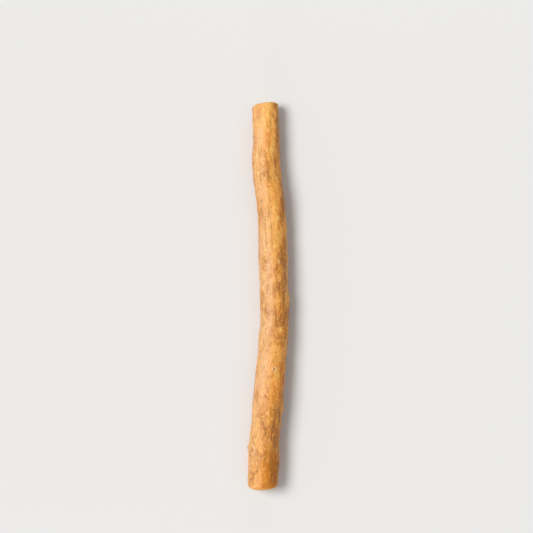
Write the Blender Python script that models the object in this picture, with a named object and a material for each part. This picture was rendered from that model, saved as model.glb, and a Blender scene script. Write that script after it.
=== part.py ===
"""Miswak stick: one cut length of root, lying on a table along Y, in metres and +Z up.

The thick end is towards -Y and the thin one towards +Y, and the origin is under the
middle of the stick's box.
"""

import math

import bmesh
import bpy
import numpy as np
from mathutils import Vector, geometry, noise

MM = 0.001

# The root's course from its thick end to its thin one, in millimetres: how far along,
# how far to the right and how high its middle runs there, and its radius.
COURSE = (
    (0, -2.6, 0.00, 5.70),
    (11, -2.2, 0.15, 5.95),
    (22, -1.6, 0.35, 5.85),
    (33, -0.65, 0.40, 5.90),
    (56, 1.15, 0.15, 5.68),
    (67, 1.85, 0.05, 5.52),
    (76, 1.75, 0.00, 5.55),
    (82, 1.55, 0.05, 5.65),
    (95, 1.2, 0.20, 5.47),
    (103, 1.05, 0.32, 5.42),
    (111, 0.5, 0.40, 5.50),
    (118, -0.45, 0.38, 5.52),
    (125, -1.3, 0.35, 5.48),
    (137, -1.45, 0.15, 5.08),
    (150, -1.6, 0.00, 4.90),
)
LENGTH = COURSE[-1][0] * MM

# The two cuts: how much further the root runs at its top than at its middle, and at its
# right than at its middle, for each metre of height or width, and how far wear has
# rounded each rim.
THICK_END_LEAN = (-0.22, 0.03)
THIN_END_LEAN = (0.15, 0.12)
THICK_RIM_ROUNDING = 1.1 * MM
THIN_RIM_ROUNDING = 0.8 * MM
RIM_STEPS = 3

# Bark relief: the size of a ridge or a lump across and along the root, and its height,
# and how far the ridges turn around the root over its length, in radians.
RIDGE_ACROSS = 2.4 * MM
RIDGE_ALONG = 24 * MM
RIDGE_HEIGHT = 0.25 * MM
RIDGE_TWIST = 0.5
LUMP_ACROSS = 2.6 * MM
LUMP_ALONG = 4.2 * MM
LUMP_HEIGHT = 0.28 * MM
SWELL_ACROSS = 7 * MM
SWELL_ALONG = 13 * MM
SWELL_HEIGHT = 0.20 * MM

# Knots and rootlet scars: how far along in millimetres, at what angle in degrees (0 is
# the right side, 90 the top), half-length, half-width and height in millimetres, and how
# much of the height is hollowed out again at the top.
KNOTS = (
    (16.2, 157, 1.6, 2.5, 0.90, 0.45),
    (31.5, 12, 2.0, 1.8, 0.32, 0.0),
    (34.0, 200, 2.2, 1.8, 0.40, 0.3),
    (47.0, 75, 2.6, 2.0, 0.55, 0.7),
    (62.5, 128, 2.0, 1.6, 0.35, 0.0),
    (72.0, 8, 2.4, 2.0, 0.45, 0.0),
    (88.8, 2, 1.7, 1.7, 0.32, 0.0),
    (92.0, 310, 2.3, 2.0, 0.50, 0.8),
    (100.5, 10, 1.8, 1.8, 0.36, 0.0),
    (104.0, 222, 2.6, 2.0, 0.48, 0.5),
    (122.0, 118, 1.8, 1.8, 0.40, 0.0),
    (129.0, 150, 1.7, 1.7, 0.45, 0.0),
    (141.5, 285, 2.0, 1.8, 0.42, 0.6),
)

# Dents, such as old rootlet sockets and dried hollows, in the same terms without the last.
DENTS = (
    (11.0, 52, 4.6, 1.5, 0.38),
    (40.0, 262, 4.0, 1.8, 0.35),
    (67.0, 62, 3.6, 1.4, 0.32),
    (83.0, 100, 4.2, 1.5, 0.30),
    (97.0, 47, 3.4, 1.5, 0.34),
    (127.5, 47, 2.3, 1.6, 0.42),
)

# Creases across the bark where the root bends: how far along in millimetres, the angle
# that they are deepest at, how far they reach to each side of it, and their depth.
CREASES = (
    (26.0, 185, 75, 0.24),
    (50.5, 20, 60, 0.20),
    (79.5, 165, 70, 0.22),
    (119.0, 5, 70, 0.22),
    (120.0, 190, 55, 0.20),
)
CREASE_WIDTH = 1.5 * MM
CREASE_WANDER = 1.2 * MM

# How finely the root is divided around and along.
SIDES = 42
RINGS = 106

BARK_COLOUR = (0.66, 0.33, 0.115, 1.0)
BARK_ROUGHNESS = 0.62

STEADY = 1e-5


def clear_scene():
    for thing in list(bpy.data.objects):
        bpy.data.objects.remove(thing)


def course_curve(column):
    """A smooth curve through one column of the course, as a function of the distance along."""
    stations = np.array(COURSE) * MM
    places, values = stations[:, 0], stations[:, column]
    slopes = np.gradient(values, places)

    def at(along):
        i = int(np.clip(np.searchsorted(places, along) - 1, 0, len(places) - 2))
        span = places[i + 1] - places[i]
        t = min(max((along - places[i]) / span, 0.0), 1.0)
        rise = t * t * (3 - 2 * t)
        start_pull = t * (1 - t) ** 2 * span * slopes[i]
        end_pull = t * t * (t - 1) * span * slopes[i + 1]
        return values[i] + rise * (values[i + 1] - values[i]) + start_pull + end_pull

    return at


to_the_right = course_curve(1)
rise_of_middle = course_curve(2)
plain_radius = course_curve(3)


def unrolled_noise(along, angle, across_size, along_size, layer):
    """Smooth noise from -1 to 1 on the root's skin, with features of the sizes given."""
    turn = plain_radius(along) / across_size
    place = (math.cos(angle) * turn, math.sin(angle) * turn, along / along_size)
    return noise.noise(Vector(place) + Vector((0.0, 0.0, 37.0 * layer)))


def angle_between(angle, degrees):
    """The turn from one place on the root's girth to another, in radians, either way."""
    return abs((angle - math.radians(degrees) + math.pi) % math.tau - math.pi)


def mound(along, angle, at_mm, degrees, half_length_mm, half_width_mm):
    """1 at the middle of an oval spot on the skin, falling to 0 around it."""
    lengthways = (along - at_mm * MM) / (half_length_mm * MM)
    sideways = angle_between(angle, degrees) * plain_radius(along) / (half_width_mm * MM)
    return math.exp(-(lengthways**2) - sideways**2)


def bark_relief(along, angle):
    """How far the bark stands out from the plain radius at one place."""
    turned = angle + RIDGE_TWIST * along / LENGTH
    ridge = unrolled_noise(along, turned, RIDGE_ACROSS, RIDGE_ALONG, 1)
    lump = unrolled_noise(along, angle, LUMP_ACROSS, LUMP_ALONG, 2)
    swell = unrolled_noise(along, angle, SWELL_ACROSS, SWELL_ALONG, 3)
    relief = RIDGE_HEIGHT * ridge + LUMP_HEIGHT * lump + SWELL_HEIGHT * swell

    for at_mm, degrees, half_length, half_width, height, hollow in KNOTS:
        whole = mound(along, angle, at_mm, degrees, half_length, half_width)
        core = mound(along, angle, at_mm, degrees, half_length * 0.5, half_width * 0.5)
        relief += height * MM * (whole - hollow * core)

    for at_mm, degrees, half_length, half_width, depth in DENTS:
        relief -= depth * MM * mound(along, angle, at_mm, degrees, half_length, half_width)

    wander = CREASE_WANDER * unrolled_noise(along, angle, SWELL_ACROSS, SWELL_ALONG, 4)
    for at_mm, degrees, reach, depth in CREASES:
        lengthways = (along + wander - at_mm * MM) / CREASE_WIDTH
        sideways = angle_between(angle, degrees) / math.radians(reach)
        if sideways < 1:
            fade = math.cos(sideways * math.pi / 2)
            relief -= depth * MM * fade * math.exp(-(lengthways**2))
    return relief


def root_point(share, angle):
    """The place on the root's skin at a share of its length and an angle around it."""
    along = share * LENGTH
    radius = plain_radius(along) + bark_relief(along, angle)
    right = math.cos(angle) * radius
    up = math.sin(angle) * radius
    thick_cut = THICK_END_LEAN[0] * up + THICK_END_LEAN[1] * right
    thin_cut = THIN_END_LEAN[0] * up + THIN_END_LEAN[1] * right
    lean = (1 - share) * thick_cut + share * thin_cut
    cut_back_thick = abs(THICK_END_LEAN[0]) * plain_radius(0)
    cut_back_thin = abs(THIN_END_LEAN[0]) * plain_radius(LENGTH)
    middle = cut_back_thick + share * (LENGTH - cut_back_thick - cut_back_thin)
    return Vector((to_the_right(along) + right, middle + lean, rise_of_middle(along) + up))


def shape_root(bm):
    """A plain cylinder, divided along its length and moved onto the root's skin."""
    bmesh.ops.create_cone(bm, cap_ends=True, segments=SIDES, radius1=1, radius2=1, depth=1)
    lengthways = [e for e in bm.edges if abs(e.verts[0].co.z - e.verts[1].co.z) > 0.5]
    bmesh.ops.subdivide_edges(bm, edges=lengthways, cuts=RINGS - 1, use_grid_fill=True)
    for vert in bm.verts:
        vert.co = root_point(vert.co.z + 0.5, math.atan2(vert.co.y, vert.co.x))
    bmesh.ops.recalc_face_normals(bm, faces=bm.faces)


def round_rims(bm):
    """Takes the sharp edge off both cuts, as the knife and wear leave them."""
    cuts = [face for face in bm.faces if len(face.verts) == SIDES]
    cuts.sort(key=lambda face: face.calc_center_median().y)
    rims = [list(face.edges) for face in cuts]
    for rim, rounding in zip(rims, (THICK_RIM_ROUNDING, THIN_RIM_ROUNDING)):
        bmesh.ops.bevel(
            bm, geom=rim, offset=rounding, segments=RIM_STEPS, profile=0.5, affect="EDGES"
        )


def centre_of_mass(bm):
    weighted, volume = Vector(), 0.0
    for triangle in bm.calc_loop_triangles():
        a, b, c = (loop.vert.co for loop in triangle)
        part = a.dot(b.cross(c)) / 6
        weighted += part * (a + b + c) / 4
        volume += part
    return weighted / volume


def carrying_face(bm, centre):
    """The face of the convex hull that would lie on a table under the centre of mass."""
    hull = bm.copy()
    made = bmesh.ops.convex_hull(hull, input=hull.verts)
    normal = None
    for face in made["geom"]:
        if not isinstance(face, bmesh.types.BMFace):
            continue
        face.normal_update()
        corners = [vert.co.xy for vert in face.verts]
        if face.normal.z < 0 and geometry.intersect_point_tri_2d(centre.xy, *corners):
            normal = face.normal.copy()
    hull.free()
    return normal


def lay_down(bm):
    """Turns the root onto the three points that carry it, and puts the origin under it."""
    for _ in range(12):
        centre = centre_of_mass(bm)
        turn = carrying_face(bm, centre).rotation_difference(Vector((0, 0, -1)))
        bmesh.ops.rotate(bm, verts=bm.verts, cent=centre, matrix=turn.to_matrix())
        if turn.angle < STEADY:
            break
    places = np.array([vert.co for vert in bm.verts])
    low, high = places.min(axis=0), places.max(axis=0)
    under = Vector(((low[0] + high[0]) / 2, (low[1] + high[1]) / 2, low[2]))
    bmesh.ops.translate(bm, verts=bm.verts, vec=-under)


def bark_material():
    material = bpy.data.materials.new("bark")
    material.use_nodes = True
    shader = material.node_tree.nodes["Principled BSDF"]
    shader.inputs["Base Color"].default_value = BARK_COLOUR
    shader.inputs["Roughness"].default_value = BARK_ROUGHNESS
    shader.inputs["Metallic"].default_value = 0.0
    return material


def make_stick(collection):
    bm = bmesh.new()
    shape_root(bm)
    round_rims(bm)
    lay_down(bm)
    mesh = bpy.data.meshes.new("stick")
    bm.to_mesh(mesh)
    bm.free()
    mesh.materials.append(bark_material())
    mesh.shade_smooth()
    stick = bpy.data.objects.new("stick", mesh)
    collection.objects.link(stick)
    return stick


clear_scene()
miswak = bpy.data.collections.new("miswak stick")
bpy.context.scene.collection.children.link(miswak)
make_stick(miswak)
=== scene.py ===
"""A miswak stick: a short length of root for cleaning the teeth, lying on a pale table."""

import math

import bmesh
import bpy
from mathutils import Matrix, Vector


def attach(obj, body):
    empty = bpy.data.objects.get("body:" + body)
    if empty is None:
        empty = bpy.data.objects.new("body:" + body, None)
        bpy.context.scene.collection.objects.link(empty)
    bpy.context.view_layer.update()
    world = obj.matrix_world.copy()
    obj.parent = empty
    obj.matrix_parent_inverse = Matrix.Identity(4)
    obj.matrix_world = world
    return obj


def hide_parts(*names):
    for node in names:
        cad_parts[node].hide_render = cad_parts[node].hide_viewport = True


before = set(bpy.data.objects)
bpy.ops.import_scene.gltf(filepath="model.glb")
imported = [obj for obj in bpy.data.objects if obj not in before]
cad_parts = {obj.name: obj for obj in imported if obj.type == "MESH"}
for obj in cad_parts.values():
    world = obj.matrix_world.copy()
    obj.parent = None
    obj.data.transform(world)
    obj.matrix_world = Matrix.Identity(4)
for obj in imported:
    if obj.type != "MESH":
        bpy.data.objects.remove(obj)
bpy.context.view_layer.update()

# The stick
# One length of a shrub's root, dried with its bark on and sawn across at both ends. The
# bark is thin and golden tan, wrinkled lengthways, browner where its outer skin is still
# on, with pale breathing pores and a few knots where rootlets grew. The wood is cream.

MM = 0.001
MEAN_RADIUS_MM = 5.7
BARK_THICKNESS_MM = 0.80
HEART_MM = (0.6, 0.0, -0.4)

# Scars of rootlets, small nubs and pale pores: millimetres from the middle of the stick
# towards its thin end, and degrees around it, where 0 is the right side and 90 the top. The
# scars also have a half-length and a half-width in millimetres. The nubs share one size,
# and so do the pores.
SCARS = (
    (-59.3, 139, 1.90, 1.35),
    (-28.3, 74, 1.10, 0.75),
    (17.1, 315, 1.60, 1.00),
    (27.8, 220, 1.20, 1.00),
    (53.1, 153, 0.95, 0.80),
    (65.4, 289, 1.30, 0.90),
)
NUBS = (
    (-58.6, 176),
    (-43.6, 8),
)
NUB_SIZE_MM = (0.8, 0.8)
PORES = (
    (63.8, 82),
    (56.4, 59),
    (54.1, 134),
    (47.5, 126),
    (30.0, 64),
    (19.6, 81),
    (17.6, 123),
    (13.4, 69),
    (7.2, 132),
    (3.3, 139),
    (-3.7, 136),
    (-13.0, 61),
    (-45.2, 89),
)
PORE_SIZE_MM = (0.9, 0.75)

# Where the outer skin is mostly on, with a positive share, or mostly rubbed off, with a
# negative one. The numbers before the share are those of the scars.
WORN_PLACES = (
    (0.0, 142, 72.0, 5.0, -0.09),
    (64.0, 88, 13.0, 7.0, -0.13),
    (62.5, 35, 9.5, 2.1, 0.22),
    (53.5, 70, 4.0, 1.4, -0.14),
    (51.9, 46, 1.8, 1.0, 0.18),
    (35.5, 34, 4.5, 1.5, 0.14),
    (24.5, 66, 5.5, 1.8, -0.15),
    (22.0, 37, 4.0, 1.3, 0.20),
    (9.0, 61, 9.0, 3.0, 0.23),
    (-6.2, 52, 5.0, 1.9, 0.22),
    (-13.2, 57, 1.8, 1.2, -0.20),
    (-17.0, 45, 3.0, 2.0, 0.12),
    (-47.5, 52, 5.0, 2.4, 0.15),
    (-53.0, 52, 3.8, 1.4, 0.20),
    (-60.0, 105, 8.0, 2.6, -0.09),
    (-62.0, 55, 11.0, 3.4, 0.06),
    (-65.5, 49, 4.6, 1.9, 0.28),
    (-71.0, 55, 2.5, 2.0, 0.12),
)

# The left side, tan over the stick's whole length, partly rubbed bark and partly a painted
# sheen, and the place by the thick end where the bark is a deeper amber, again with the scars'
# numbers.
TAN_AND_SHEEN_SIDE = (0.0, 146, 90.0, 5.4)
AMBER_PLACE = (-69.5, 66, 11.0, 4.6)


class Flow:
    """A value that flows out of a node tree's socket. Sums on it add the tree's Math nodes."""

    def __init__(self, tree, socket=None):
        self.tree = tree
        self.socket = socket

    def node(self, kind, settings=None, inputs=None, output=0):
        """Adds any node: its settings first, then the values or links of its sockets."""
        made = self.tree.nodes.new(kind)
        for name, value in (settings or {}).items():
            setattr(made, name, value)
        for name, value in (inputs or {}).items():
            if isinstance(value, Flow):
                self.tree.links.new(value.socket, made.inputs[name])
            else:
                made.inputs[name].default_value = value
        return Flow(self.tree, made.outputs[output] if made.outputs else None)

    def math(self, operation, *values):
        return self.node("ShaderNodeMath", {"operation": operation}, dict(enumerate(values)))

    def vector(self, operation, *values, output=0):
        inputs = dict(enumerate((self, *values)))
        return self.node("ShaderNodeVectorMath", {"operation": operation}, inputs, output)

    def __add__(self, other):
        return self.math("ADD", self, other)

    def __radd__(self, other):
        return self.math("ADD", other, self)

    def __sub__(self, other):
        return self.math("SUBTRACT", self, other)

    def __rsub__(self, other):
        return self.math("SUBTRACT", other, self)

    def __mul__(self, other):
        return self.math("MULTIPLY", self, other)

    def __rmul__(self, other):
        return self.math("MULTIPLY", other, self)

    def __truediv__(self, other):
        return self.math("DIVIDE", self, other)

    def __rtruediv__(self, other):
        return self.math("DIVIDE", other, self)

    def __abs__(self):
        return self.math("ABSOLUTE", self)

    def at_least(self, other):
        return self.math("MAXIMUM", self, other)

    def at_most(self, other):
        return self.math("MINIMUM", self, other)

    def wave(self, length):
        return self.math("SINE", self * (math.tau / length))

    def step(self, low, high):
        """0 at low, 1 at high and smooth between them; low may be the larger."""
        settings = {"interpolation_type": "SMOOTHSTEP"}
        if high < low:
            return 1 - self.step(high, low)
        return self.node("ShaderNodeMapRange", settings, {0: self, 1: low, 2: high})

    def part(self, axis):
        return self.node("ShaderNodeSeparateXYZ", None, {0: self}, axis)

    def flat(self):
        """The vector without what it has along the stick, so only the part across it."""
        return self.vector("MULTIPLY", (1.0, 0.0, 1.0))

    def length(self):
        return self.vector("LENGTH", output=1)


LAYER_SHIFT = 41.0


def noise(place, across, along, layer, detail=2.0, roughness=0.5):
    """Noise from 0 to 1 on the unrolled bark, with features of the sizes given in mm.

    Each layer is moved many features along, so that it has a pattern of its own.
    """
    scale = (1 / across, 1 / along, 1 / across)
    moved = place.vector("MULTIPLY_ADD", scale, (0.0, LAYER_SHIFT * layer, 0.0))
    inputs = {"Vector": moved, "Scale": 1.0, "Detail": detail, "Roughness": roughness}
    return place.node("ShaderNodeTexNoise", None, inputs)


def lines(place, across, along, layer, width):
    """Thin winding lines: 1 in the middle of a line and 0 beside it."""
    return abs(noise(place, across, along, layer, detail=1.0) - 0.5).step(width, 0.0)


def grain(place):
    """The bark's fine grain, from 0 to 1, which its relief and its colours share."""
    return noise(place, across=0.45, along=1.1, layer=5)


def nodules(place):
    """The bark's small round swellings, from 0 to 1, shared in the same way."""
    return noise(place, across=1.2, along=1.5, layer=6)


def unrolled_spot(along, degrees):
    """A spot on the unrolled bark, from its distance along and its angle around."""
    angle = math.radians(degrees)
    return (MEAN_RADIUS_MM * math.cos(angle), along, MEAN_RADIUS_MM * math.sin(angle))


def away_from(place, along, degrees, half_length, half_width):
    """How far a place is from the middle of an oval spot, where its edge is at 1."""
    offset = place.vector("SUBTRACT", unrolled_spot(along, degrees))
    oval = (1 / half_width, 1 / half_length, 1 / half_width)
    return offset.vector("MULTIPLY", oval).length()


def nearest(place, spots, *size):
    """How far a place is from the nearest of some oval spots, where their edges are at 1.

    The half-length and half-width are given here where the spots have none of their own.
    """
    first, *others = (away_from(place, *spot, *size) for spot in spots)
    for away in others:
        first = first.at_most(away)
    return first


def skin_cover(place):
    """How likely the brown outer skin is to be still on the bark, around a half."""
    cover = noise(place, across=3.6, along=9.0, layer=1, detail=4.0, roughness=0.55)
    for *spot, share in WORN_PLACES:
        cover = cover + away_from(place, *spot).step(1.5, 0.4) * share
    return cover


WELD_DISTANCE = 0.001 * MM
END_FACING = 0.9
SAME_PLANE = 0.99999
JOINED_FACE_ANGLE = math.radians(40)
JOINED_SHAPE_ANGLE = math.radians(60)


def joined_copy(node):
    """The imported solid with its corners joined, four-sided faces and one face on each cut."""
    bm = bmesh.new()
    bm.from_mesh(node.data)
    bmesh.ops.remove_doubles(bm, verts=bm.verts, dist=WELD_DISTANCE)
    for side in (-1, 1):
        facing = [face for face in bm.faces if face.normal.y * side > END_FACING]
        widest = max(facing, key=lambda face: face.calc_area())
        level = [face for face in facing if face.normal.dot(widest.normal) > SAME_PLANE]
        bmesh.ops.dissolve_faces(bm, faces=level)
    bmesh.ops.join_triangles(
        bm,
        faces=bm.faces,
        angle_face_threshold=JOINED_FACE_ANGLE,
        angle_shape_threshold=JOINED_SHAPE_ANGLE,
    )
    mesh = bpy.data.meshes.new("solid copy")
    bm.to_mesh(mesh)
    bm.free()
    copy = bpy.data.objects.new("solid copy", mesh)
    bpy.context.collection.objects.link(copy)
    return copy


MIDDLE_POINTS = 26
MIDDLE_REACH = 3 * MM


def middle_line(solid):
    """A chain of points down the middle of the solid, from its thick end to its thin end."""
    places = [vert.co for vert in solid.data.vertices]
    start = min(place.y for place in places)
    end = max(place.y for place in places)
    points = []
    for i in range(MIDDLE_POINTS):
        along = start + (end - start) * i / (MIDDLE_POINTS - 1)
        near = [place for place in places if abs(place.y - along) < MIDDLE_REACH]
        right = (min(p.x for p in near) + max(p.x for p in near)) / 2
        up = (min(p.z for p in near) + max(p.z for p in near)) / 2
        points.append((right, along, up))
    mesh = bpy.data.meshes.new("middle line")
    mesh.from_pydata(points, [(i, i + 1) for i in range(MIDDLE_POINTS - 1)], [])
    line = bpy.data.objects.new("middle line", mesh)
    bpy.context.collection.objects.link(line)
    return line


SKIN_INPUTS = {
    "Solid": ("Object", None),
    "Around": ("Int", 144),
    "Along": ("Int", 580),
    "Cut Rings": ("Int", 24),
    "Smoothing": ("Int", 2),
    "Radius": ("Float", MEAN_RADIUS_MM * MM),
    "Fan Inset": ("Float", 4 * MM),
    "Girth Inset": ("Float", 2.4 * MM),
    "Ray Reach": ("Float", 30 * MM),
    "Relief": ("Float", MM),
    "Finish": ("Material", None),
}


def new_tree(name, inputs):
    """A geometry tree with one named input for each size, and the flows of those inputs."""
    tree = bpy.data.node_groups.new(name, "GeometryNodeTree")
    tree.interface.new_socket("Geometry", in_out="INPUT", socket_type="NodeSocketGeometry")
    for label, (kind, _) in inputs.items():
        tree.interface.new_socket(label, in_out="INPUT", socket_type="NodeSocket" + kind)
    tree.interface.new_socket("Geometry", in_out="OUTPUT", socket_type="NodeSocketGeometry")
    source = tree.nodes.new("NodeGroupInput")
    return tree, {socket.name: Flow(tree, socket) for socket in source.outputs if socket.name}


def stored(geometry, name, value, kind="FLOAT"):
    """The geometry with a value of each of its corners kept under a name."""
    settings = {"data_type": kind, "domain": "POINT"}
    inputs = {"Geometry": geometry, "Name": name, "Value": value}
    return geometry.node("GeometryNodeStoreNamedAttribute", settings, inputs)


def cast_skin(given):
    """A finely divided cylinder, bent to the middle line and cast out onto the solid.

    Rays fan out from points on the middle line, which stay the fan inset away from its
    ends, so that they also reach the cuts. The skin carries "unrolled", its place on the
    root in millimetres as if the root were straight and evenly round, "facing", how far it
    faces an end, and "depth", how far it lies under the outside of the bark in millimetres.
    """
    geometry = given["Geometry"]
    line = geometry.node("GeometryNodeMeshToCurve", None, {"Mesh": geometry})
    catmull = {"spline_type": "CATMULL_ROM"}
    line = line.node("GeometryNodeCurveSplineType", catmull, {"Curve": line})
    solid = line.node("GeometryNodeObjectInfo", None, {"Object": given["Solid"]}, "Geometry")
    smooth = {"Mesh": solid, "Level": given["Smoothing"]}
    solid = solid.node("GeometryNodeSubdivisionSurface", None, smooth)
    sizes = {
        "Vertices": given["Around"],
        "Side Segments": given["Along"],
        "Fill Segments": given["Cut Rings"],
        "Radius": 1.0,
        "Depth": 1.0,
    }
    tube = line.node("GeometryNodeMeshCylinder", {"fill_type": "TRIANGLE_FAN"}, sizes, "Mesh")
    laid = {"Geometry": tube, "Rotation": (math.pi / 2, 0.0, 0.0)}
    tube = tube.node("GeometryNodeTransform", None, laid)

    place = tube.node("GeometryNodeInputPosition")
    share = place.part("Y") + 0.5
    outward = place.flat()
    length = line.node("GeometryNodeCurveLength", None, {"Curve": line})

    def middle(inset):
        """Each corner's point on the middle line, kept an inset away from its ends."""
        kept = inset / length
        inputs = {"Curves": line, "Factor": share.at_least(kept).at_most(1 - kept)}
        return line.node("GeometryNodeSampleCurve", None, inputs, "Position")

    def cast(source, direction, output):
        inputs = {
            "Target Geometry": solid,
            "Source Position": source,
            "Ray Direction": direction,
            "Ray Length": given["Ray Reach"],
        }
        return line.node("GeometryNodeRaycast", None, inputs, output)

    bent = middle(0.0).vector("ADD", outward.vector("MULTIPLY", given["Radius"]))
    anchor = middle(given["Fan Inset"])
    fan = bent.vector("SUBTRACT", anchor)
    landing = cast(anchor, fan, "Hit Position")
    facing = abs(cast(anchor, fan, "Hit Normal").part("Y"))
    girth_middle = middle(given["Girth Inset"])
    girth = cast(girth_middle, outward, "Hit Distance")
    spoke = landing.vector("SUBTRACT", girth_middle).flat()
    depth = (girth - spoke.length()) / MM
    evened = spoke.vector("MULTIPLY", MEAN_RADIUS_MM / girth)
    along = landing.vector("MULTIPLY", (0.0, 1 / MM, 0.0))

    skin = stored(tube, "unrolled", evened.vector("ADD", along), "FLOAT_VECTOR")
    skin = stored(skin, "facing", facing)
    skin = stored(skin, "depth", depth)
    return skin.node("GeometryNodeSetPosition", None, {"Geometry": skin, "Position": landing})


# How far each mark of the bark stands out or sinks in, in millimetres.
FLAKE_MM = 0.08
RIDGE_MM = 0.32
FINE_RIDGE_MM = 0.22
WRINKLE_MM = 0.16
GRAIN_MM = 0.15
NODULE_MM = 0.07
CREASE_MM = 0.14
PORE_MM = 0.07
SCAR_LIP_MM = 0.18
SCAR_RING_MM = 0.04
SCAR_PIT_MM = 0.22
NUB_MM = 0.42


def bark_height(place, cover, pores, scars):
    """How far the bark stands out in millimetres, and where it is furrowed, from 0 to 1."""
    flakes = cover.step(0.50, 0.54)
    ridges = noise(place, across=2.2, along=14.0, layer=2, detail=1.0) - 0.5
    fine_ridges = noise(place, across=0.75, along=7.0, layer=9) - 0.5
    wrinkled = noise(place, across=5.0, along=9.0, layer=4).step(0.42, 0.58)
    wrinkles = lines(place, across=1.3, along=15.0, layer=3, width=0.045) * wrinkled
    cracked = noise(place, across=6.0, along=8.0, layer=8).step(0.5, 0.62)
    cracked = cracked * cover.step(0.40, 0.50)
    creases = lines(place, across=5.0, along=1.3, layer=7, width=0.035) * cracked
    broken = noise(place, across=1.1, along=1.1, layer=24).step(0.35, 0.6)
    lips = abs(scars - 1.0).step(0.4, 0.0) * broken
    rings = scars.wave(0.55) * scars.step(2.4, 1.2)
    pits = scars.step(0.78, 0.42)
    pit_edges = abs(scars - 0.6).step(0.14, 0.0)
    nubs = nearest(place, NUBS, *NUB_SIZE_MM).step(1.0, 0.1)
    height = (
        FLAKE_MM * flakes
        + RIDGE_MM * ridges
        + FINE_RIDGE_MM * fine_ridges
        - WRINKLE_MM * wrinkles
        + GRAIN_MM * (grain(place) - 0.5)
        + NODULE_MM * nodules(place).step(0.56, 0.72)
        - CREASE_MM * creases
        + PORE_MM * pores
        + SCAR_LIP_MM * lips
        + SCAR_RING_MM * rings
        - SCAR_PIT_MM * pits
        + NUB_MM * nubs
    )
    furrows = wrinkles.at_least(creases).at_least(pit_edges)
    return height, furrows


SPOKE_RADIUS_MM = 4.0
RING_PITCH_MM = 1.15
RING_WAVER_MM = 1.6


def spokes(place):
    """The place on a cut face, drawn out so that noise on it runs from the heart outwards.

    Its distance along the root is added, so the two ends have patterns of their own.
    """
    flat = place.vector("SUBTRACT", HEART_MM).flat()
    radius = (SPOKE_RADIUS_MM, 0.0, SPOKE_RADIUS_MM)
    outward = flat.vector("NORMALIZE").vector("MULTIPLY", radius)
    away = flat.node("ShaderNodeCombineXYZ", None, {"Y": flat.length() + place.part("Y")})
    return outward.vector("ADD", away), flat.length()


def growth_rings(place, from_heart):
    """The wavering rings of the wood, from -1 to 1."""
    waver = noise(place, across=2.6, along=2.6, layer=14) * RING_WAVER_MM
    return (from_heart + waver).wave(RING_PITCH_MM)


# How far each mark of the cut wood stands out or sinks in, in millimetres. Saw marks run
# across the cut at a slant, and drying cracks keep clear of the bark and of the heart.
BARK_SINK_MM = 0.05
GROOVE_MM = 0.09
RAY_MM = 0.05
RING_MM = 0.03
SAW_MM = 0.03
CHECK_MM = 0.30
SAW_PITCH_MM = 0.7
SAW_SLANT = (0.8, 0.6)


def cut_height(place, depth):
    """How far the cut stands out in millimetres, and where it is cracked, from 0 to 1."""
    spoke, from_heart = spokes(place)
    bark_ring = depth.step(BARK_THICKNESS_MM + 0.05, BARK_THICKNESS_MM - 0.05)
    groove = abs(depth - BARK_THICKNESS_MM).step(0.2, 0.0)
    rays = noise(spoke, across=0.5, along=5.0, layer=11) - 0.5
    slanted = place.part("X") * SAW_SLANT[0] + place.part("Z") * SAW_SLANT[1]
    sawn = (slanted + noise(place, across=3.0, along=3.0, layer=12)).wave(SAW_PITCH_MM)
    winding = spoke.vector("ADD", noise(place, across=0.9, along=0.9, layer=15) * 0.35)
    few = noise(spoke, across=3.0, along=60.0, layer=20).step(0.56, 0.62)
    checks = lines(winding, across=1.9, along=60.0, layer=13, width=0.02) * few
    checks = checks * from_heart.step(0.3, 0.9)
    checks = checks * depth.step(BARK_THICKNESS_MM + 0.2, 2.4)
    height = (
        RAY_MM * rays
        + RING_MM * growth_rings(place, from_heart)
        + SAW_MM * sawn
        - BARK_SINK_MM * bark_ring
        - GROOVE_MM * groove
        - CHECK_MM * checks
    )
    return height, checks


def skin_tree():
    """The tree that grows the stick's bark and cut ends on its middle line."""
    tree, given = new_tree("root skin", SKIN_INPUTS)
    skin = cast_skin(given)

    def kept(name, kind="FLOAT"):
        return skin.node("GeometryNodeInputNamedAttribute", {"data_type": kind}, {"Name": name})

    place = kept("unrolled", "FLOAT_VECTOR")
    depth = kept("depth")
    worn_edge = (noise(place, across=0.9, along=0.9, layer=23) - 0.5) * 0.3
    cut = (kept("facing") + worn_edge).step(0.42, 0.76)
    cover = skin_cover(place)
    torn = (noise(place, across=0.6, along=0.9, layer=25) - 0.5) * 1.1
    scars = nearest(place, SCARS) + torn
    small_pores = noise(place, across=1.0, along=0.7, layer=21, detail=0.0).step(0.74, 0.82)
    ragged = (noise(place, across=0.8, along=0.8, layer=22) - 0.5) * 2.0
    large_pores = (nearest(place, PORES, *PORE_SIZE_MM) + ragged).step(1.3, 0.3)
    pores = small_pores.at_least(large_pores)
    bark, furrows = bark_height(place, cover, pores, scars)
    wood, checks = cut_height(place, depth)
    height = bark + cut * (wood - bark)

    skin = stored(skin, "cut", cut)
    skin = stored(skin, "cover", cover)
    skin = stored(skin, "furrows", furrows)
    skin = stored(skin, "checks", checks)
    skin = stored(skin, "pores", pores)
    skin = stored(skin, "scars", scars)
    outwards = skin.node("GeometryNodeInputNormal").vector("MULTIPLY", height * given["Relief"])
    skin = skin.node("GeometryNodeSetPosition", None, {"Geometry": skin, "Offset": outwards})
    skin = skin.node("GeometryNodeSetShadeSmooth", None, {"Geometry": skin})
    skin = skin.node("GeometryNodeRealizeInstances", None, {"Geometry": skin})
    finish = {"Geometry": skin, "Material": given["Finish"]}
    skin = skin.node("GeometryNodeSetMaterial", None, finish)
    skin.node("NodeGroupOutput", None, {"Geometry": skin})
    return tree


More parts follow.
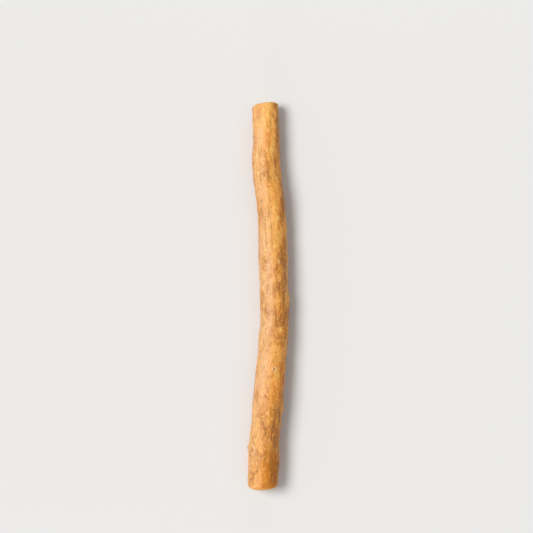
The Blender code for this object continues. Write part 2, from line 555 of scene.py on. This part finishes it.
def paint(red, green, blue):
    """A colour in a screen's values, from 0 to 255, turned into light by the usual curve."""
    shares = (value / 255 for value in (red, green, blue))
    linear = (s / 12.92 if s <= 0.04045 else ((s + 0.055) / 1.055) ** 2.4 for s in shares)
    return (*linear, 1.0)


GOLD_BARK = paint(232, 163, 76)
ORANGE_BARK = paint(214, 131, 42)
YELLOW_BARK = paint(243, 187, 98)
TAN_SHEEN_BARK = paint(208, 167, 129)
AMBER_BARK = paint(206, 123, 10)
AMBER_SKIN = paint(158, 88, 8)
BROWN_SKIN = paint(184, 113, 42)
DARK_SKIN = paint(140, 81, 26)
HOLLOW_SHADE = paint(124, 72, 32)
PORE_CREAM = paint(247, 197, 119)
SCAR_PIT_SHADE = paint(190, 128, 70)
SCAR_PALE = paint(236, 192, 138)
RAW_BARK = paint(206, 150, 86)
CAMBIUM_BROWN = paint(168, 118, 66)
WOOD_CREAM = paint(254, 222, 170)
WOOD_TAN = paint(238, 193, 132)
VESSEL_TAN = paint(194, 147, 96)
CHECK_SHADE = paint(140, 104, 66)

BARK_ROUGHNESS = 0.44
WOOD_ROUGHNESS = 0.82
SHEEN_OF_BARK = 0.26
SHEEN_ROUGHNESS = 0.36
REFLECTION = 0.2
FINE_RELIEF_MM = 0.2


def blended(first, second, share):
    """Two colours, the second over the first by a share from 0 to 1."""
    return share.node("ShaderNodeMix", {"data_type": "RGBA"}, {0: share, 6: first, 7: second}, 2)


def bark_colour(place, cover, furrows, scars, pores, mottle, fibres):
    """Golden bark, amber in places and tan down the left side with a painted sheen, under brown
    outer skin, with painted shade in the furrows, scars and their hollows.
    """
    drift = noise(place, across=6.0, along=14.0, layer=31, detail=3.0)
    specks = noise(place, across=0.35, along=0.5, layer=34)
    blotches = noise(place, across=1.6, along=2.2, layer=35)
    # Paler tan down the left side: partly rubbed bark and partly a painted sheen on the side the
    # key light falls on.
    tan_and_sheen = away_from(place, *TAN_AND_SHEEN_SIDE).step(1.4, 0.4)
    amber = away_from(place, *AMBER_PLACE).step(1.4, 0.5)
    gold = blended(GOLD_BARK, ORANGE_BARK, (drift + mottle - 0.5).step(0.25, 0.75))
    gold = blended(gold, YELLOW_BARK, blotches.step(0.52, 0.7) * 0.4)
    gold = blended(gold, YELLOW_BARK, cover.step(0.44, 0.30) * 0.5)
    gold = blended(gold, TAN_SHEEN_BARK, tan_and_sheen * (drift * 0.5 + 0.35))
    gold = blended(gold, AMBER_BARK, amber * (drift * 0.5 + 0.4))

    aged = mottle * 0.4 + drift * 0.15 + cover * 0.45
    brown = blended(BROWN_SKIN, DARK_SKIN, aged.step(0.48, 0.64) * 0.7)
    brown = blended(brown, AMBER_SKIN, amber * 0.7)
    skin = cover.step(0.42, 0.64) * 0.5 + cover.step(0.50, 0.535) * 0.5
    patches = skin * (mottle * 0.4 + 0.35) + cover.step(0.56, 0.72) * 0.3
    skin_edges = abs(cover - 0.51).step(0.014, 0.0)
    bark = blended(gold, brown, patches)
    bark = blended(bark, DARK_SKIN, skin_edges * blotches * 0.6)
    bark = blended(bark, DARK_SKIN, fibres.step(0.52, 0.78) * 0.3)
    bark = blended(bark, PORE_CREAM, specks.step(0.6, 0.76) * 0.22)

    worn_pale = (1 - amber * 0.75) * 0.34
    fine = grain(place)
    bark = blended(bark, YELLOW_BARK, nodules(place).step(0.54, 0.70) * worn_pale)
    bark = blended(bark, YELLOW_BARK, fine.step(0.54, 0.70) * worn_pale)
    bark = blended(bark, DARK_SKIN, fine.step(0.47, 0.31) * 0.34)
    # Painted shade darkens the furrows.
    bark = blended(bark, HOLLOW_SHADE, furrows * 0.44)

    torn = noise(place, across=0.35, along=0.5, layer=36, detail=3.0, roughness=0.6)
    # Painted shade in the scars' sunken middles and in the groove around each scar.
    scar_outline_shade = abs(scars - 1.35).step(0.16, 0.0)
    bark = blended(bark, SCAR_PALE, scars.step(1.4, 1.0) * (torn * 0.8 + 0.1))
    bark = blended(bark, SCAR_PIT_SHADE, scars.step(0.85, 0.55) * (torn * 0.8 + 0.3))
    bark = blended(bark, HOLLOW_SHADE, scars.step(0.4, 0.1) * torn.step(0.4, 0.6) * 0.6)
    bark = blended(bark, HOLLOW_SHADE, scar_outline_shade * mottle * 0.6)
    return blended(bark, PORE_CREAM, pores * (specks * 1.6 - 0.2))


def wood_colour(place, depth, checks, mottle, rays, vessels):
    """Cream wood with tan rays, rings, vessels and heart, inside a thin ring of bark."""
    from_heart = spokes(place)[1]
    rings = growth_rings(place, from_heart) * 0.5 + 0.5
    wood = blended(WOOD_CREAM, WOOD_TAN, (rays * 0.75 + rings * 0.18).step(0.3, 0.75) * 0.7)
    wood = blended(wood, VESSEL_TAN, (vessels + rings * 0.05).step(0.60, 0.74) * 0.4)
    wood = blended(wood, VESSEL_TAN, from_heart.step(0.7, 0.1) * 0.6)
    # Painted shade darkens the drying cracks.
    wood = blended(wood, CHECK_SHADE, checks * 0.7)
    bark = blended(DARK_SKIN, RAW_BARK, depth.step(0.05, 0.3))
    bark = blended(bark, WOOD_TAN, depth.step(0.3, 0.7) * (0.2 + 0.6 * mottle))
    inside = depth.step(BARK_THICKNESS_MM - 0.05, BARK_THICKNESS_MM + 0.08)
    cambium = abs(depth - BARK_THICKNESS_MM).step(0.22, 0.0)
    return blended(blended(bark, wood, inside), CAMBIUM_BROWN, cambium * 0.6)


def stick_finish():
    """Dry satin bark on the outside and matt cream wood on the cuts."""
    material = bpy.data.materials.new("bark and cut wood")
    material.use_nodes = True
    tree = material.node_tree
    tree.nodes.clear()
    start = Flow(tree)

    def kept(name, output="Fac"):
        return start.node("ShaderNodeAttribute", {"attribute_name": name}, None, output)

    place = kept("unrolled", "Vector")
    cut = kept("cut")
    furrows = kept("furrows")
    mottle = noise(place, across=1.3, along=2.4, layer=32, detail=3.0, roughness=0.6)
    fibres = noise(place, across=0.28, along=5.0, layer=33, detail=3.0, roughness=0.6)
    rays = noise(spokes(place)[0], across=0.28, along=4.0, layer=41)
    vessels = noise(place, across=0.17, along=0.17, layer=43, detail=1.0)
    bark = bark_colour(
        place, kept("cover"), furrows, kept("scars"), kept("pores"), mottle, fibres
    )
    wood = wood_colour(place, kept("depth"), kept("checks"), mottle, rays, vessels)
    rubbed_rim = (cut * (1 - cut)).step(0.04, 0.2)
    colour = blended(blended(bark, wood, cut), WOOD_TAN, rubbed_rim * (mottle * 0.8 + 0.2))

    satin = BARK_ROUGHNESS + 0.16 * mottle + 0.12 * furrows
    roughness = satin + cut * (WOOD_ROUGHNESS - satin)
    fine = noise(place, across=0.16, along=0.5, layer=51) * 0.5 + fibres * 0.5
    sawn = rays * 0.5 + noise(place, across=0.15, along=0.15, layer=52) * 0.5
    sawn = sawn - vessels.step(0.60, 0.72) * 0.3
    relief = {
        "Height": fine + cut * (sawn - fine),
        "Distance": FINE_RELIEF_MM * MM,
        "Strength": 1.0,
    }
    surface = {
        "Base Color": colour,
        "Roughness": roughness,
        "Specular IOR Level": REFLECTION,
        "Coat Weight": SHEEN_OF_BARK * (1 - cut),
        "Coat Roughness": SHEEN_ROUGHNESS,
        "Normal": start.node("ShaderNodeBump", None, relief),
    }
    shader = start.node("ShaderNodeBsdfPrincipled", None, surface)
    start.node("ShaderNodeOutputMaterial", None, {"Surface": shader})
    return material


def plain_mesh(maker, tree, values):
    """The mesh that a tree makes on an object, with the modifier's inputs set first."""
    modifier = maker.modifiers.new("grow", "NODES")
    modifier.node_group = tree
    for item in tree.interface.items_tree:
        if item.in_out == "INPUT" and item.name in values:
            modifier[item.identifier] = values[item.name]
    depsgraph = bpy.context.evaluated_depsgraph_get()
    grown = maker.evaluated_get(depsgraph)
    mesh = bpy.data.meshes.new_from_object(grown, depsgraph=depsgraph)
    maker.modifiers.remove(modifier)
    return mesh


solid = joined_copy(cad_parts["stick"])
line = middle_line(solid)
finish = stick_finish()
values = {label: value for label, (_, value) in SKIN_INPUTS.items()}
values["Solid"] = solid
values["Finish"] = finish
mesh = plain_mesh(line, skin_tree(), values)
mesh.name = "root stick"

# The tree's cylinder brings an empty slot, so the finish is made the only one.
mesh.materials.clear()
mesh.materials.append(finish)
root_stick = bpy.data.objects.new("root_stick", mesh)
bpy.context.collection.objects.link(root_stick)
bpy.data.objects.remove(solid)
bpy.data.objects.remove(line)
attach(root_stick, "root")
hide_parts("stick")

# The table
# A pale matt table top, wide enough to fill every view. It isn't part of the stick.

TABLE_WIDTH = 6.0
TABLE_WHITE = paint(212, 211, 210)
TABLE_ROUGHNESS = 0.9

table_mesh = bpy.data.meshes.new("table")
half = TABLE_WIDTH / 2
corners = [(-half, -half, 0), (half, -half, 0), (half, half, 0), (-half, half, 0)]
table_mesh.from_pydata(corners, [], [(0, 1, 2, 3)])
table_finish = bpy.data.materials.new("pale table")
table_finish.use_nodes = True
table_shader = table_finish.node_tree.nodes["Principled BSDF"]
table_shader.inputs["Base Color"].default_value = TABLE_WHITE
table_shader.inputs["Roughness"].default_value = TABLE_ROUGHNESS
table_mesh.materials.append(table_finish)
table = bpy.data.objects.new("table", table_mesh)
bpy.context.collection.objects.link(table)

# The light
# A soft high light from the left, weak ones that reach the two cut ends, and a pale room.

STICK_MIDDLE = Vector((0.0, 0.0, 0.006))
KEY_PLACE = (-0.50, 0.12, 0.86)
KEY_STRENGTH = 2.7
KEY_SPREAD = math.radians(28)
END_LIGHTS = (
    ("far end light", (0.05, 0.55, 0.30), (0.40, 0.30), 0.35),
    ("near end light", (-0.10, -0.60, 0.20), (0.30, 0.20), 0.50),
)
ROOM_WHITE = (1.0, 1.0, 1.0, 1.0)
ROOM_STRENGTH = 0.45


def aimed(thing, place, target):
    """Puts a thing in its place, turned towards a target."""
    thing.location = place
    thing.rotation_euler = (target - Vector(place)).to_track_quat("-Z", "Y").to_euler()


key_lamp = bpy.data.lights.new("key light", "SUN")
key_lamp.energy = KEY_STRENGTH
key_lamp.angle = KEY_SPREAD
key_light = bpy.data.objects.new("key light", key_lamp)
bpy.context.collection.objects.link(key_light)
aimed(key_light, KEY_PLACE, STICK_MIDDLE)

for name, place, size, power in END_LIGHTS:
    lamp = bpy.data.lights.new(name, "AREA")
    lamp.shape = "RECTANGLE"
    lamp.size, lamp.size_y = size
    lamp.energy = power
    light = bpy.data.objects.new(name, lamp)
    bpy.context.collection.objects.link(light)
    aimed(light, place, STICK_MIDDLE)

room = bpy.data.worlds.new("room")
room.use_nodes = True
room_light = room.node_tree.nodes["Background"]
room_light.inputs["Color"].default_value = ROOM_WHITE
room_light.inputs["Strength"].default_value = ROOM_STRENGTH
bpy.context.scene.world = room
bpy.context.scene.view_settings.view_transform = "Standard"

# The camera
# It looks straight down, with the stick a little right of the middle and below it.

CAMERA_HEIGHT = 1.2
VIEW_WIDTH = 0.2061
VIEW_MIDDLE = (-0.00087, 0.01138)
SENSOR_WIDTH = 36.0

lens = bpy.data.cameras.new("camera")
lens.sensor_width = SENSOR_WIDTH
lens.lens = SENSOR_WIDTH * (CAMERA_HEIGHT - STICK_MIDDLE.z) / VIEW_WIDTH
camera = bpy.data.objects.new("camera", lens)
camera.location = (*VIEW_MIDDLE, CAMERA_HEIGHT)
bpy.context.collection.objects.link(camera)
bpy.context.scene.camera = camera
